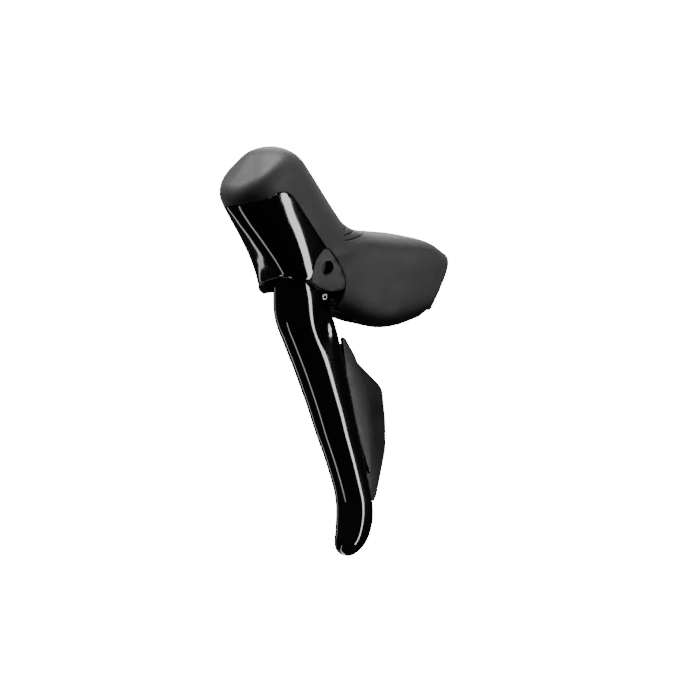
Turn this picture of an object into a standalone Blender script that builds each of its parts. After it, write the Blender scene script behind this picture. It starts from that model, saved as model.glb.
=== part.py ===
"""Left brake and shift lever for a drop handlebar: a hydraulic brake with electronic shift paddles.

The origin is the centre of the handlebar where the clamp band holds it. -X is forward, -Y is the outer side
and +Z is up. The numbers are millimetres measured from a datum near the grip's rear end. object_from moves each
piece by BAR_CENTRE, so that the bar's centre becomes the origin, and MM turns it into Blender's metres.
"""

import math

import bmesh
import bpy
from mathutils import Matrix, Vector

MM = 0.001
GAP = 0.3

# Driving dimensions
BAR_RADIUS = 12.0
BAR_TILT = math.radians(35.0)
GRIP_TILT = math.radians(11.5)
HORN_TILT = math.radians(37.0)
PIVOT = Vector((-65.5, 0.0, 20.5))
BAR_CENTRE = Vector((-3.3, 0.0, 2.3))
PULL_RADIUS = 12.5
LEVER_TRAVEL = math.radians(15.0)
RUBBER = 2.1
SHELL = 2.2
CORE_INSET = 2.5
SECTION_POWER = 2.5
CAVITY_HALF = 11.2
HUB_HALF = 10.7
HUB_RADIUS = 7.5
AXLE_RADIUS = 3.0

ACROSS = Vector((0.0, 1.0, 0.0))
BAR_UP = Vector((math.sin(BAR_TILT), 0.0, math.cos(BAR_TILT)))
BAR_BACK = Vector((math.cos(BAR_TILT), 0.0, -math.sin(BAR_TILT)))
GRIP_BACK = Vector((math.cos(GRIP_TILT), 0.0, -math.sin(GRIP_TILT)))
GRIP_DOWN = Vector((-math.sin(GRIP_TILT), 0.0, -math.cos(GRIP_TILT)))
HORN_UP = Vector((-math.sin(HORN_TILT), 0.0, math.cos(HORN_TILT)))
HORN_BACK = Vector((math.cos(HORN_TILT), 0.0, math.sin(HORN_TILT)))

# Side profile of the grip from the bar end to the foot of the horn. Each section runs from a point on the
# top line to a point on the underside: (top x, top z, bottom x, bottom z, half width)
GRIP_SECTIONS = (
    (10.5, 16.0, -10.5, -12.6, 16.6),
    (1.8, 20.9, -19.0, -13.2, 17.2),
    (-9.8, 24.7, -29.0, -12.6, 17.0),
    (-21.4, 27.7, -37.0, -10.8, 16.4),
    (-31.0, 30.0, -45.0, -7.2, 16.0),
    (-37.6, 32.0, -53.5, -2.6, 15.8),
    (-43.0, 34.2, -68.0, 2.6, 15.8),
    (-47.6, 37.2, -80.0, 9.4, 15.8),
)

# The horn above them, in its own tilted axes: (rear height, rear depth, front height, front depth, half width)
HORN_SECTIONS = (
    (64.0, -16.2, 64.0, -57.6, 15.8),
    (73.0, -16.6, 73.0, -56.0, 15.8),
    (82.0, -16.6, 83.0, -55.6, 15.8),
    (92.0, -16.6, 95.0, -55.5, 15.8),
    (98.6, -17.2, 103.0, -55.1, 15.4),
    (103.6, -19.4, 109.0, -53.4, 14.3),
    (107.2, -23.2, 112.6, -49.8, 12.2),
    (109.2, -28.0, 113.9, -45.2, 9.0),
    (110.4, -33.2, 113.6, -40.4, 4.4),
)

# Lever blade from its tip up to the neck: (x, y, z, half depth, half width)
BLADE_SECTIONS = (
    (-57.0, -15.4, -106.0, 2.6, 3.2),
    (-54.9, -15.0, -104.0, 4.6, 5.2),
    (-51.0, -14.2, -99.6, 5.9, 6.4),
    (-48.4, -13.2, -94.2, 6.6, 6.9),
    (-47.4, -12.2, -88.2, 6.6, 6.9),
    (-47.9, -10.8, -80.4, 6.3, 6.7),
    (-50.3, -8.4, -66.0, 6.9, 7.0),
    (-52.9, -6.4, -54.0, 7.8, 7.6),
    (-55.4, -4.4, -41.0, 8.7, 8.0),
    (-59.6, -2.6, -25.0, 9.7, 8.8),
    (-64.2, -1.2, -10.0, 11.4, 9.6),
    (-67.9, -0.5, 0.0, 11.7, 9.6),
    (-69.4, 0.0, 10.0, 10.6, 9.3),
    (-71.0, 0.0, 19.0, 9.2, 9.5),
    (-72.2, 0.0, 25.0, 6.6, 9.3),
    (-72.6, 0.0, 28.0, 3.6, 8.4),
)

# Paddle outlines in the plane of the shift paddles: (distance behind the pin, distance down the pin)
FRONT_PADDLE_OUTLINE = (
    (0.6, -6.2), (2.6, -5.4), (7.0, 4.0), (8.5, 9.5), (10.0, 17.5), (10.9, 28.0),
    (10.3, 40.0), (8.3, 50.0), (5.0, 57.0), (3.8, 56.6), (1.6, 44.0), (0.4, 30.0), (-0.4, 10.0),
)
REAR_PADDLE_OUTLINE = (
    (8.2, 5.4), (10.7, 8.4), (20.5, 20.6), (21.8, 23.6), (20.5, 37.5), (17.9, 49.5), (14.0, 56.0),
    (8.1, 66.6), (5.7, 69.0), (4.4, 68.2), (2.2, 58.0), (1.7, 12.0), (5.2, 5.6),
)
PIN_TOP = Vector((-50.0, -3.4, -20.0))
PIN_BOTTOM = Vector((-44.0, -9.6, -74.0))
PIN_DOWN = (PIN_BOTTOM - PIN_TOP).normalized()
HOSE_START = Vector((-28.0, 3.4, 14.6))
HOSE_AXIS = Vector((0.92, 0.0, 0.39)).normalized()
PADDLE_OUT = (Vector((0.10, -1.0, 0.0)) - PIN_DOWN * Vector((0.10, -1.0, 0.0)).dot(PIN_DOWN)).normalized()
PADDLE_BACK = PADDLE_OUT.cross(PIN_DOWN).normalized()


def clear_scene():
    for obj in list(bpy.data.objects):
        bpy.data.objects.remove(obj)


def horn(up, back, across=0.0):
    """A point given along the horn's own tilted axes."""
    return HORN_UP * up + HORN_BACK * back + ACROSS * across


def side(x, z, across=0.0):
    return Vector((x, across, z))


# ---------------------------------------------------------------- materials


def material(name, colour, roughness, metallic=0.0):
    made = bpy.data.materials.new(name)
    made.use_nodes = True
    shader = made.node_tree.nodes["Principled BSDF"]
    shader.inputs["Base Color"].default_value = (*colour, 1.0)
    shader.inputs["Roughness"].default_value = roughness
    shader.inputs["Metallic"].default_value = metallic
    return made


def make_materials():
    return {
        "hood_rubber": material("hood_rubber", (0.028, 0.028, 0.030), 0.62),
        "gloss_shell": material("gloss_shell", (0.004, 0.004, 0.005), 0.08),
        "lever_gloss": material("lever_gloss", (0.004, 0.004, 0.005), 0.07),
        "bracket_nylon": material("bracket_nylon", (0.022, 0.022, 0.024), 0.45),
        "paddle_front": material("paddle_front", (0.030, 0.030, 0.032), 0.42),
        "paddle_rear": material("paddle_rear", (0.016, 0.016, 0.018), 0.38),
        "seal_rubber": material("seal_rubber", (0.010, 0.010, 0.010), 0.55),
        "steel": material("steel", (0.55, 0.56, 0.58), 0.28, 1.0),
        "black_steel": material("black_steel", (0.040, 0.040, 0.043), 0.35, 0.8),
        "aluminium": material("aluminium", (0.62, 0.63, 0.66), 0.32, 1.0),
        "brass": material("brass", (0.72, 0.55, 0.25), 0.30, 1.0),
        "board": material("board", (0.02, 0.12, 0.06), 0.50),
    }


# ---------------------------------------------------------------- mesh helpers


def object_from(name, bm, finish=None, sharp_degrees=38.0):
    """Makes an object from a bmesh in millimetres, with its faces pointing out."""
    bmesh.ops.recalc_face_normals(bm, faces=bm.faces)
    bmesh.ops.translate(bm, vec=-BAR_CENTRE, verts=bm.verts)
    bmesh.ops.scale(bm, vec=(MM, MM, MM), verts=bm.verts)
    mesh = bpy.data.meshes.new(name)
    bm.to_mesh(mesh)
    bm.free()
    mesh.shade_smooth()
    mesh.set_sharp_from_angle(angle=math.radians(sharp_degrees))
    obj = bpy.data.objects.new(name, mesh)
    bpy.context.scene.collection.objects.link(obj)
    if finish:
        mesh.materials.append(finish)
    return obj


def frame(origin, x_axis, z_axis):
    """A matrix whose local X and Z point along the given directions."""
    z_dir = Vector(z_axis).normalized()
    y_dir = z_dir.cross(Vector(x_axis)).normalized()
    x_dir = y_dir.cross(z_dir)
    turned = Matrix((x_dir, y_dir, z_dir)).transposed().to_4x4()
    return Matrix.Translation(origin) @ turned


def loft(name, rings, finish=None):
    """A closed skin over rings of equal point counts, with a flat cap at each end."""
    bm = bmesh.new()
    loops = [[bm.verts.new(point) for point in ring] for ring in rings]
    for first, second in zip(loops, loops[1:]):
        for k in range(len(first)):
            after = (k + 1) % len(first)
            bm.faces.new((first[k], first[after], second[after], second[k]))
    bm.faces.new(loops[0])
    bm.faces.new(loops[-1])
    return object_from(name, bm, finish)


def prism(name, outline, matrix, low, high, finish=None):
    """An outline in the frame's XY plane, extruded along its Z from low to high."""
    bm = bmesh.new()
    base = [bm.verts.new(matrix @ Vector((x, y, low))) for x, y in outline]
    face = bm.faces.new(base)
    made = bmesh.ops.extrude_face_region(bm, geom=[face])
    risen = [v for v in made["geom"] if isinstance(v, bmesh.types.BMVert)]
    rise = matrix.to_3x3() @ Vector((0.0, 0.0, high - low))
    bmesh.ops.translate(bm, vec=rise, verts=risen)
    return object_from(name, bm, finish)


def side_prism(name, outline, low, high, finish=None):
    """An outline of (x, z) points in the side view, extruded across the part from y = low to y = high."""
    bm = bmesh.new()
    base = [bm.verts.new((x, low, z)) for x, z in outline]
    face = bm.faces.new(base)
    made = bmesh.ops.extrude_face_region(bm, geom=[face])
    risen = [v for v in made["geom"] if isinstance(v, bmesh.types.BMVert)]
    bmesh.ops.translate(bm, vec=(0.0, high - low, 0.0), verts=risen)
    return object_from(name, bm, finish)


def box(name, matrix, size, finish=None):
    """A block centred on the frame's origin."""
    bm = bmesh.new()
    bmesh.ops.create_cube(bm, size=1.0)
    bmesh.ops.scale(bm, vec=size, verts=bm.verts)
    bmesh.ops.transform(bm, matrix=matrix, verts=bm.verts)
    return object_from(name, bm, finish)


def turned(name, profile, origin, axis, sides=20, finish=None):
    """A profile of (radius, distance along the axis) points, spun about the axis.

    A profile that starts and ends on the axis makes a solid, and any other closes into a ring.
    """
    place = frame(origin, (0.123, 0.456, 0.789), axis)
    bm = bmesh.new()
    points = [bm.verts.new((radius, 0.0, distance)) for radius, distance in profile]
    edges = [bm.edges.new(pair) for pair in zip(points, points[1:])]
    if profile[0][0] > 0.0:
        edges.append(bm.edges.new((points[-1], points[0])))
    bmesh.ops.spin(
        bm, geom=points + edges, cent=(0, 0, 0), axis=(0, 0, 1), angle=math.tau, steps=sides, use_merge=True
    )
    bmesh.ops.remove_doubles(bm, verts=bm.verts, dist=1e-4)
    bmesh.ops.transform(bm, matrix=place, verts=bm.verts)
    return object_from(name, bm, finish)


def rod(name, start, end, radius, sides=20, finish=None):
    length = (Vector(end) - Vector(start)).length
    profile = ((0.0, 0.0), (radius, 0.0), (radius, length), (0.0, length))
    return turned(name, profile, start, Vector(end) - Vector(start), sides, finish)


def pipe(name, start, end, outer, inner, sides=20, finish=None):
    length = (Vector(end) - Vector(start)).length
    profile = ((inner, 0.0), (outer, 0.0), (outer, length), (inner, length))
    return turned(name, profile, start, Vector(end) - Vector(start), sides, finish)


def stepped(name, start, axis, steps, sides=20):
    """A solid of coaxial cylinders, given as (radius, length) from start along axis."""
    profile = [(0.0, 0.0)]
    reached = 0.0
    for radius, length in steps:
        profile.append((radius, reached))
        reached += length
        profile.append((radius, reached))
    profile.append((0.0, reached))
    return turned(name, profile, start, axis, sides)


def combine(target, tool, operation="DIFFERENCE"):
    """Adds a Boolean to target and hides the tool."""
    step = target.modifiers.new(tool.name, "BOOLEAN")
    step.operation = operation
    step.object = tool
    tool.hide_render = True
    tool.display_type = "WIRE"
    return target


def cut_all(target, tools):
    for tool in tools:
        combine(target, tool)
    return target


def wire(name, points, radius, finish, resolution=2):
    """A round wire along a list of points, with filled ends."""
    curve = bpy.data.curves.new(name, "CURVE")
    curve.dimensions = "3D"
    curve.bevel_depth = radius * MM
    curve.bevel_resolution = resolution
    curve.use_fill_caps = True
    spline = curve.splines.new("POLY")
    spline.points.add(len(points) - 1)
    for target, point in zip(spline.points, points):
        target.co = (*((Vector(point) - BAR_CENTRE) * MM), 1.0)
    curve.materials.append(finish)
    obj = bpy.data.objects.new(name, curve)
    bpy.context.scene.collection.objects.link(obj)
    return obj


def coil_points(start, axis, radius, pitch, turns, per_turn=10):
    place = frame(start, ACROSS, axis)
    count = int(turns * per_turn) + 1
    points = []
    for k in range(count):
        angle = math.tau * k / per_turn
        points.append(place @ Vector((radius * math.cos(angle), radius * math.sin(angle), pitch * k / per_turn)))
    return points


def smooth_curve(points, steps):
    """Catmull-Rom curve through points of any dimension."""
    points = [Vector(p) for p in points]
    padded = [points[0] * 2 - points[1], *points, points[-1] * 2 - points[-2]]
    smooth = []
    for a, b, c, d in zip(padded, padded[1:], padded[2:], padded[3:]):
        for k in range(steps):
            t = k / steps
            smooth.append(
                0.5 * (2 * b + (c - a) * t + (2 * a - 5 * b + 4 * c - d) * t * t + (3 * b - a - 3 * c + d) * t**3)
            )
    return [*smooth, points[-1]]


def filleted(corners, radius, steps=4):
    """An outline with each corner replaced by an arc of about the given radius."""
    count = len(corners)
    outline = []
    for k, corner in enumerate(corners):
        here = Vector(corner)
        back = Vector(corners[k - 1]) - here
        ahead = Vector(corners[(k + 1) % count]) - here
        reach = min(radius, back.length * 0.45, ahead.length * 0.45)
        first = here + back.normalized() * reach
        last = here + ahead.normalized() * reach
        for s in range(steps + 1):
            t = s / steps
            outline.append(tuple((1 - t) ** 2 * first + 2 * t * (1 - t) * here + t * t * last))
    return outline


# ---------------------------------------------------------------- hood and bracket surfaces


def section_ring(top, bottom, half_width, count=24, power=SECTION_POWER):
    """One closed rounded section between a point on the top line and a point on the bottom line."""
    middle = (top + bottom) / 2
    reach = (top - bottom) / 2
    ring = []
    for k in range(count):
        angle = math.tau * k / count
        along = math.copysign(abs(math.cos(angle)) ** (2 / power), math.cos(angle))
        across = math.copysign(abs(math.sin(angle)) ** (2 / power), math.sin(angle))
        ring.append(middle + reach * along + ACROSS * half_width * across)
    return ring


def skin_sections(inset, rear_shift=0.0):
    """The grip and horn as (top, bottom, half width), all faces moved in by inset."""
    sections = []
    for top_x, top_z, bottom_x, bottom_z, half_width in GRIP_SECTIONS:
        sections.append((side(top_x, top_z), side(bottom_x, bottom_z), half_width))
    for rear_up, rear_back, front_up, front_back, half_width in HORN_SECTIONS:
        sections.append((horn(rear_up, rear_back), horn(front_up, front_back), half_width))
    crown_start = len(sections) - 5
    moved = []
    for k, (top, bottom, half_width) in enumerate(sections):
        inward = (bottom - top).normalized() * inset
        lower = HORN_UP * -inset * max(0, k - crown_start) / 4
        shrink = min(inset, (bottom - top).length * 0.3, half_width * 0.6)
        inward = inward.normalized() * shrink if inset else inward
        moved.append((top + inward + lower, bottom - inward + lower, half_width - shrink))
    if rear_shift:
        top, bottom, half_width = moved[0]
        second_top, second_bottom, _ = moved[1]
        back = ((top - second_top).normalized() + (bottom - second_bottom).normalized()) * rear_shift / 2
        moved[0] = (top + back, bottom + back, half_width)
    return moved


def skin(name, inset, finish=None, rear_shift=0.0):
    return loft(name, [section_ring(*section) for section in skin_sections(inset, rear_shift)], finish)


def bar_cutter(name, radius):
    return rod(name, BAR_CENTRE - BAR_UP * 60.0, BAR_CENTRE + BAR_UP * 60.0, radius, 40)


def cheek_outline(grow=0.0):
    """The outer face of the bracket's ear round the lever axle, in the side view."""
    corners = ((-64.6, 28.8), (-67.6, 29.2), (-71.6, 26.2), (-73.2, 21.6), (-75.2, 16.4), (-67.6, 10.6), (-57.6, 9.6),
               (-55.0, 11.0), (-56.2, 16.8), (-59.6, 22.2))
    centre = Vector((-65.0, 19.0))
    return [tuple(Vector(c) + (Vector(c) - centre).normalized() * grow) for c in corners]


def side_corner(shift):
    """The rounded top corner of the window in the side view, moved towards the window by shift."""
    corner = ((114.0, -48.0), (102.6, -43.4), (101.4, -40.8), (99.4, -38.0), (96.2, -36.2), (92.0, -35.5))
    points = [horn(up - shift, back - shift) for up, back in corner]
    return [(point.x, point.z) for point in points]


def brow_tool(name, shift=0.0):
    """Everything under the slanted arch that the rubber hood makes over the gloss shell."""
    arch = ((-30.0, 101.2), (-15.5, 101.2), (-12.5, 103.4), (-9.0, 105.0), (-4.0, 105.2), (2.0, 103.4), (8.0, 100.2),
            (13.0, 97.4), (30.0, 96.0), (30.0, 0.0), (-30.0, 0.0))
    outline = [(up - shift, -across) for across, up in arch]
    return prism(name, outline, frame(Vector((0, 0, 0)), HORN_UP, HORN_BACK), -120.0, 0.0)


def window_tool(name):
    """The opening in the hood for the gloss shell, the ears and the lever."""
    edge = [(-63.2, 25.4), (-60.2, 22.2), (-56.4, 16.8), (-55.0, 11.0), (-56.2, 5.2), (-59.0, -2.0)]
    outline = [*side_corner(0.0), *edge, (-59.0, -40.0), (-150.0, -40.0), (-150.0, 90.0)]
    return combine(side_prism(name, outline, -40.0, 40.0), brow_tool(name + "_brow"), "INTERSECT")


# ---------------------------------------------------------------- fixed pieces


def mouth_tool(name, half):
    """The open room in front of and below the lever's hub."""
    outline = ((-49.6, 19.0), (-48.6, 4.0), (-44.4, -6.0), (-44.4, -40.0), (-120.0, -40.0), (-120.0, 17.0),
               (-81.6, 17.0), (-81.0, 20.5), (-66.0, 24.0))
    return side_prism(name, outline, -half, half)


# Notch in the hood's underside that lets in the paddle and switch housing at full pull
PULL_NOTCH = ((-46.0, -2.0), (-46.0, -40.0), (-33.0, -40.0), (-33.0, -2.0))
PULL_NOTCH_LOW, PULL_NOTCH_HIGH = -8.7, 5.2


def make_hood(finish):
    hood = skin("hood_cover", 0.0, finish)
    tools = [
        skin("tool_hood_inside", RUBBER, rear_shift=6.0),
        window_tool("tool_hood_window"),
        side_prism("tool_hood_ear", cheek_outline(GAP), -40.0, 40.0),
        bar_cutter("tool_hood_bar", BAR_RADIUS + 0.6),
    ]
    tools.append(mouth_tool("tool_hood_mouth", CAVITY_HALF))
    tools.append(side_prism("tool_pull_notch", PULL_NOTCH, PULL_NOTCH_LOW, PULL_NOTCH_HIGH))
    tools.append(rod("tool_lid_relief", Vector((-32.0, 10.2, 12.0)), Vector((-32.0, 13.85, 12.0)), 7.95, 28))
    return cut_all(hood, tools)


def cylinder_point(distance):
    """A point on the master cylinder's axis, measured back from the lever's pull roller."""
    return PIVOT + GRIP_DOWN * (PULL_RADIUS - 0.1) + GRIP_BACK * distance


def bolt_point(distance):
    """A point on the clamp bolt's axis, measured forward from the bar's centre."""
    return BAR_CENTRE - ACROSS * 7.9 - BAR_BACK * distance


def make_bracket(finish):
    body = skin("bracket_body", CORE_INSET, finish, rear_shift=-1.6)
    ears = side_prism("tool_ear_pads", cheek_outline(), -40.0, 40.0)
    ear_skin = skin("tool_ear_skin", 0.25)
    combine(ears, ear_skin, "INTERSECT")
    combine(body, ears, "UNION")
    across = ACROSS * CAVITY_HALF
    body_tools = [rod("tool_body_swing", PIVOT - across, PIVOT + across, 16.3, 32)]
    body_tools.append(mouth_tool("tool_body_mouth", CAVITY_HALF + 0.15))
    front_below = ((-66.4, 10.4), (-68.4, 10.2), (-75.6, 16.0), (-84.0, 17.0), (-120.0, 17.0), (-120.0, -40.0),
                   (-59.4, -40.0), (-58.6, 2.0), (-62.0, 8.0))
    body_tools += [
        side_prism("tool_body_front", front_below, -40.0, 40.0),
        bar_cutter("tool_body_bar", BAR_RADIUS + 0.1),
        rod("tool_cylinder_bore", cylinder_point(9.0), cylinder_point(42.9), 8.0, 24),
        stepped("tool_axle_bore", PIVOT - ACROSS * 30.0, ACROSS, ((3.7, 17.3), (AXLE_RADIUS + GAP, 42.0))),
        stepped("tool_reservoir_bore", horn(84.0, -36.0), HORN_UP, ((8.2, 16.6), (10.6, 30.0)), 24),
        box("tool_button_pocket", frame(horn(80.0, -28.4, 14.4), HORN_UP, ACROSS), (7.6, 7.6, 12.0)),
        stepped("tool_bolt_bore", bolt_point(16.6), -BAR_BACK, ((2.8, 11.9), (4.1, 40.0))),
        box("tool_nut_channel", frame(bolt_point(12.2) - ACROSS * 5.0, -BAR_BACK, BAR_UP), (14.6, 18.6, 11.2)),
        box("tool_outer_strap_room", frame(BAR_CENTRE - ACROSS * 13.6 - BAR_BACK * 2.0, -BAR_BACK, BAR_UP), (36.0, 3.8, 11.3)),
        box("tool_inner_strap_room", frame(BAR_CENTRE + ACROSS * 13.6 - BAR_BACK * 1.0, -BAR_BACK, BAR_UP), (34.0, 3.8, 11.3)),
        stepped("tool_cell_pocket", Vector((-32.0, 8.2, 12.0)), ACROSS, ((6.7, 2.3), (8.8, 20.0)), 28),
        box("tool_board_pocket", frame(Vector((-40.0, -14.0, 11.0)), GRIP_BACK, ACROSS), (16.4, 14.4, 10.4)),
        rod("tool_hose_bore", HOSE_START, HOSE_START + HOSE_AXIS * 40.0, 4.6),
        rod("tool_hose_passage", Vector((-32.0, 3.4, 4.0)), HOSE_START + HOSE_AXIS * 0.5, 1.2, 12),
        rod("tool_shell_screw", horn(86.0, -44.5, 6.4), horn(86.0, -44.5, 30.0), 1.6, 14),
        rod("tool_port_bore", Vector((-44.2, 8.6, 21.0)), Vector((-44.2, 30.0, 21.0)), 2.6, 16),
    ]
    return cut_all(body, body_tools)


def make_front_shell(finish):
    """The gloss shell over the front of the horn."""
    shell = skin("front_cover", 0.0, finish)
    foot = horn(60.0, -35.9)
    outline = [*side_corner(0.35), (foot.x, foot.z), (foot.x, -10.0), (-150.0, -10.0), (-150.0, 90.0)]
    front = side_prism("tool_shell_region", outline, -40.0, 40.0)
    combine(shell, brow_tool("tool_shell_brow", 0.35), "INTERSECT")
    combine(shell, front, "INTERSECT")
    lip = ((40.0, 9.8), (13.0, 11.0), (7.0, 13.2), (0.0, 15.8), (-6.0, 17.8), (-10.0, 18.2), (-14.0, 17.0),
           (-40.0, 14.0), (-40.0, -60.0), (40.0, -60.0))
    lip_tool = prism("tool_shell_lip", [(y, z) for y, z in lip], frame(Vector((0, 0, 0)), ACROSS, (1, 0, 0)),
                     -150.0, -40.0)
    return cut_all(shell, [
        skin("tool_shell_inside", SHELL),
        side_prism("tool_shell_ear", cheek_outline(GAP), -40.0, 40.0),
        lip_tool,
        stepped("tool_shell_screw_hole", horn(86.0, -44.5, 5.0), ACROSS, ((1.6, 8.6), (2.6, 9.0)), 14),
    ])


def hex_socket(name, start, axis, across_flats, depth, offset=0.2):
    """A cutter for a hexagon key."""
    radius = across_flats / math.sqrt(3)
    profile = ((0.0, -offset), (radius, -offset), (radius, depth), (0.0, depth))
    return turned(name, profile, start, axis, 6)


def cap_screw(name, head_end, axis, head_radius, head_length, shank_radius, shank_length, key, finish):
    """A screw whose head's flat end is at head_end and whose shank points along axis."""
    bevel = head_radius * 0.12
    profile = ((0.0, 0.0), (head_radius - bevel, 0.0), (head_radius, bevel), (head_radius, head_length),
               (shank_radius, head_length), (shank_radius, head_length + shank_length), (0.0, head_length + shank_length))
    screw = turned(name, profile, head_end, axis, 18, finish)
    return combine(screw, hex_socket("tool_key_" + name, head_end, axis, key, head_length * 0.62))


def make_clamp(steel, black_steel):
    """The strap round the bar, its nut on the outer side and its hook on the inner side."""
    inner = BAR_RADIUS + 0.25
    outer = inner + 0.9
    steps = 22
    arc = [math.pi * (k / steps) - math.pi / 2 for k in range(steps + 1)]
    back_out = [(math.cos(a) * outer, math.sin(a) * outer) for a in arc]
    back_in = [(math.cos(a) * inner, math.sin(a) * inner) for a in reversed(arc)]
    hook = [(-10.0, outer), (-11.4, outer + 0.2), (-12.6, outer + 0.2), (-12.6, inner - 0.2), (-11.0, inner - 0.2)]
    flange = [(-15.6, -inner), (-15.6, -5.2), (-16.5, -5.2), (-16.5, -outer)]
    outline = [*back_out, *hook, *back_in, *flange]
    strap = prism("clamp_band", outline, frame(BAR_CENTRE, BAR_BACK, BAR_UP), -5.0, 5.0, steel)
    combine(strap, rod("tool_strap_hole", bolt_point(10.0), bolt_point(24.0), 2.6, 16))
    nut = box("clamp_nut", frame(bolt_point(13.0), -BAR_BACK, BAR_UP), (4.4, 4.8, 8.6), steel)
    combine(nut, rod("tool_nut_thread", bolt_point(8.0), bolt_point(24.0), 2.4, 16))
    bolt = cap_screw("clamp_bolt", bolt_point(32.4), BAR_BACK, 3.5, 3.6, 2.0, 16.8, 3.6, black_steel)
    return strap, nut, bolt


def make_hydraulics(finishes):
    made = {}
    bore = 5.2
    barrel = ((0.0, 26.0), (7.0, 26.0), (7.6, 25.4), (7.6, 5.4), (6.5, 2.6), (bore, 2.6), (bore, 23.0), (0.0, 23.0))
    made["master_cylinder"] = turned("master_cylinder", barrel, cylinder_point(16.4), GRIP_BACK, 24,
                                     finishes["aluminium"])
    radius = bore - 0.15
    groove = radius - 1.3
    piston = ((0.0, 0.0), (2.9, 0.0), (2.9, 1.2), (radius, 1.2), (radius, 2.6), (groove, 2.6), (groove, 4.6), (radius, 4.6),
              (radius, 6.6), (groove, 6.6), (groove, 8.6), (radius, 8.6), (radius, 9.8), (2.2, 9.8), (2.2, 11.6),
              (0.0, 11.6))
    piston_start = 19.4
    body = turned("piston", piston, cylinder_point(piston_start), GRIP_BACK, 20, finishes["aluminium"])
    made["piston"] = combine(body, turned("tool_piston_seat", ((0.0, -1.0), (2.0, -1.0), (2.0, 3.2), (0.0, 3.2)),
                                          cylinder_point(piston_start), GRIP_BACK, 14))
    for name, start in (("rear_piston_seal", 2.75), ("front_piston_seal", 6.75)):
        ring = ((groove + 0.1, 0.0), (radius - 0.3, 0.0), (radius, 0.5), (radius, 1.2), (radius - 0.3, 1.7),
                (groove + 0.1, 1.7))
        made[name] = turned(name, ring, cylinder_point(piston_start + start), GRIP_BACK, 20,
                            finishes["seal_rubber"])
    pad = PULL_RADIUS * -math.sin(LEVER_TRAVEL / 2) + 2.5 + GAP
    rod_profile = ((0.0, pad), (3.4, pad), (3.4, pad + 1.4), (1.7, pad + 2.1), (1.7, 22.2), (0.0, 22.2))
    made["push_rod"] = turned("push_rod", rod_profile, cylinder_point(0.0), GRIP_BACK, 16, finishes["steel"])
    coil = coil_points(cylinder_point(30.1), GRIP_BACK, 3.6, 1.72, 5.0, 9)
    made["piston_spring"] = wire("piston_spring", coil, 0.45, finishes["steel"], 1)
    bladder = ((0.0, 0.0), (7.6, 0.0), (7.6, 14.4), (7.8, 15.8), (6.8, 15.8), (6.4, 1.2), (0.0, 1.2))
    made["reservoir_bladder"] = turned("reservoir_bladder", bladder, horn(84.5, -36.0), HORN_UP, 20,
                                       finishes["seal_rubber"])
    lid = ((2.1, 0.0), (10.2, 0.0), (10.2, 2.8), (9.4, 3.6), (4.2, 3.6), (4.2, 1.6), (2.1, 1.6))
    made["reservoir_lid"] = turned("reservoir_lid", lid, horn(101.0, -36.0), HORN_UP, 24, finishes["aluminium"])
    made["bleed_screw"] = cap_screw("bleed_screw", horn(105.6, -36.0), -HORN_UP, 3.2, 1.5, 1.7, 4.6, 2.5,
                                    finishes["black_steel"])
    ring = [(2.7 + 0.45 * math.cos(a), 0.45 * math.sin(a)) for a in (math.tau * k / 8 for k in range(8))]
    made["bleed_o_ring"] = turned("bleed_o_ring", ring, horn(103.35, -36.0), HORN_UP, 18,
                                  finishes["seal_rubber"])
    seat = HOSE_START + HOSE_AXIS * 0.5
    nut_profile = ((2.75, 4.2), (4.2, 4.2), (4.2, 12.4), (3.7, 13.0), (2.75, 13.0))
    made["hose_nut"] = turned("hose_nut", nut_profile, seat, HOSE_AXIS, 6, finishes["black_steel"])
    olive = ((2.65, 0.6), (3.6, 1.4), (3.9, 2.4), (3.6, 3.4), (2.65, 3.8))
    made["hose_olive"] = turned("hose_olive", olive, seat, HOSE_AXIS, 20, finishes["brass"])
    insert = ((0.8, 0.4), (2.2, 0.4), (2.2, 1.2), (1.25, 1.5), (1.25, 9.6), (0.8, 9.6))
    made["hose_insert"] = turned("hose_insert", insert, seat, HOSE_AXIS, 16, finishes["steel"])
    return made


def make_electronics(finishes):
    made = {}
    cell = ((0.0, 0.0), (5.6, 0.0), (5.6, 0.4), (6.25, 0.6), (6.25, 1.9), (6.0, 2.0), (0.0, 2.0))
    made["coin_cell"] = turned("coin_cell", cell, Vector((-32.0, 8.5, 12.0)), ACROSS, 28, finishes["steel"])
    lid = turned("battery_cover", ((0.0, 0.0), (7.9, 0.0), (7.9, 0.6), (7.4, 0.9), (0.0, 0.9)),
                 Vector((-32.0, 10.8, 12.0)), ACROSS, 28, finishes["bracket_nylon"])
    made["battery_cover"] = lid
    combine(lid, box("tool_lid_slot", frame(Vector((-32.0, 11.8, 12.0)), GRIP_BACK, ACROSS), (8.0, 1.4, 1.2)))
    for name, across, size, finish in (
        ("circuit_board", -9.4, (15.4, 13.4, 0.9), "board"),
        ("radio_module", -10.6, (8.0, 8.0, 0.8), "steel"),
        ("board_cover", -11.7, (15.6, 13.6, 0.8), "bracket_nylon"),
    ):
        place = frame(Vector((-40.0, across, 11.0)), GRIP_BACK, -ACROSS)
        made[name] = box(name, place, size, finishes[finish])
    switch_place = frame(horn(80.0, -28.4, 9.4), HORN_UP, ACROSS)
    made["button_switch"] = box("button_switch", switch_place, (6.0, 6.0, 1.2), finishes["board"])
    cap = ((0.0, 0.0), (1.4, 0.0), (1.4, 0.3), (3.0, 0.3), (3.0, 0.6), (2.6, 0.8), (0.0, 0.8))
    made["hood_button"] = turned("hood_button", cap, horn(80.0, -28.4, 10.5), ACROSS, 20, finishes["bracket_nylon"])
    plug = ((0.0, 0.0), (2.2, 0.0), (2.2, 3.0), (0.0, 3.0))
    made["port_plug"] = turned("port_plug", plug, Vector((-44.2, 9.0, 21.0)), ACROSS, 16, finishes["seal_rubber"])
    return made


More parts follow.
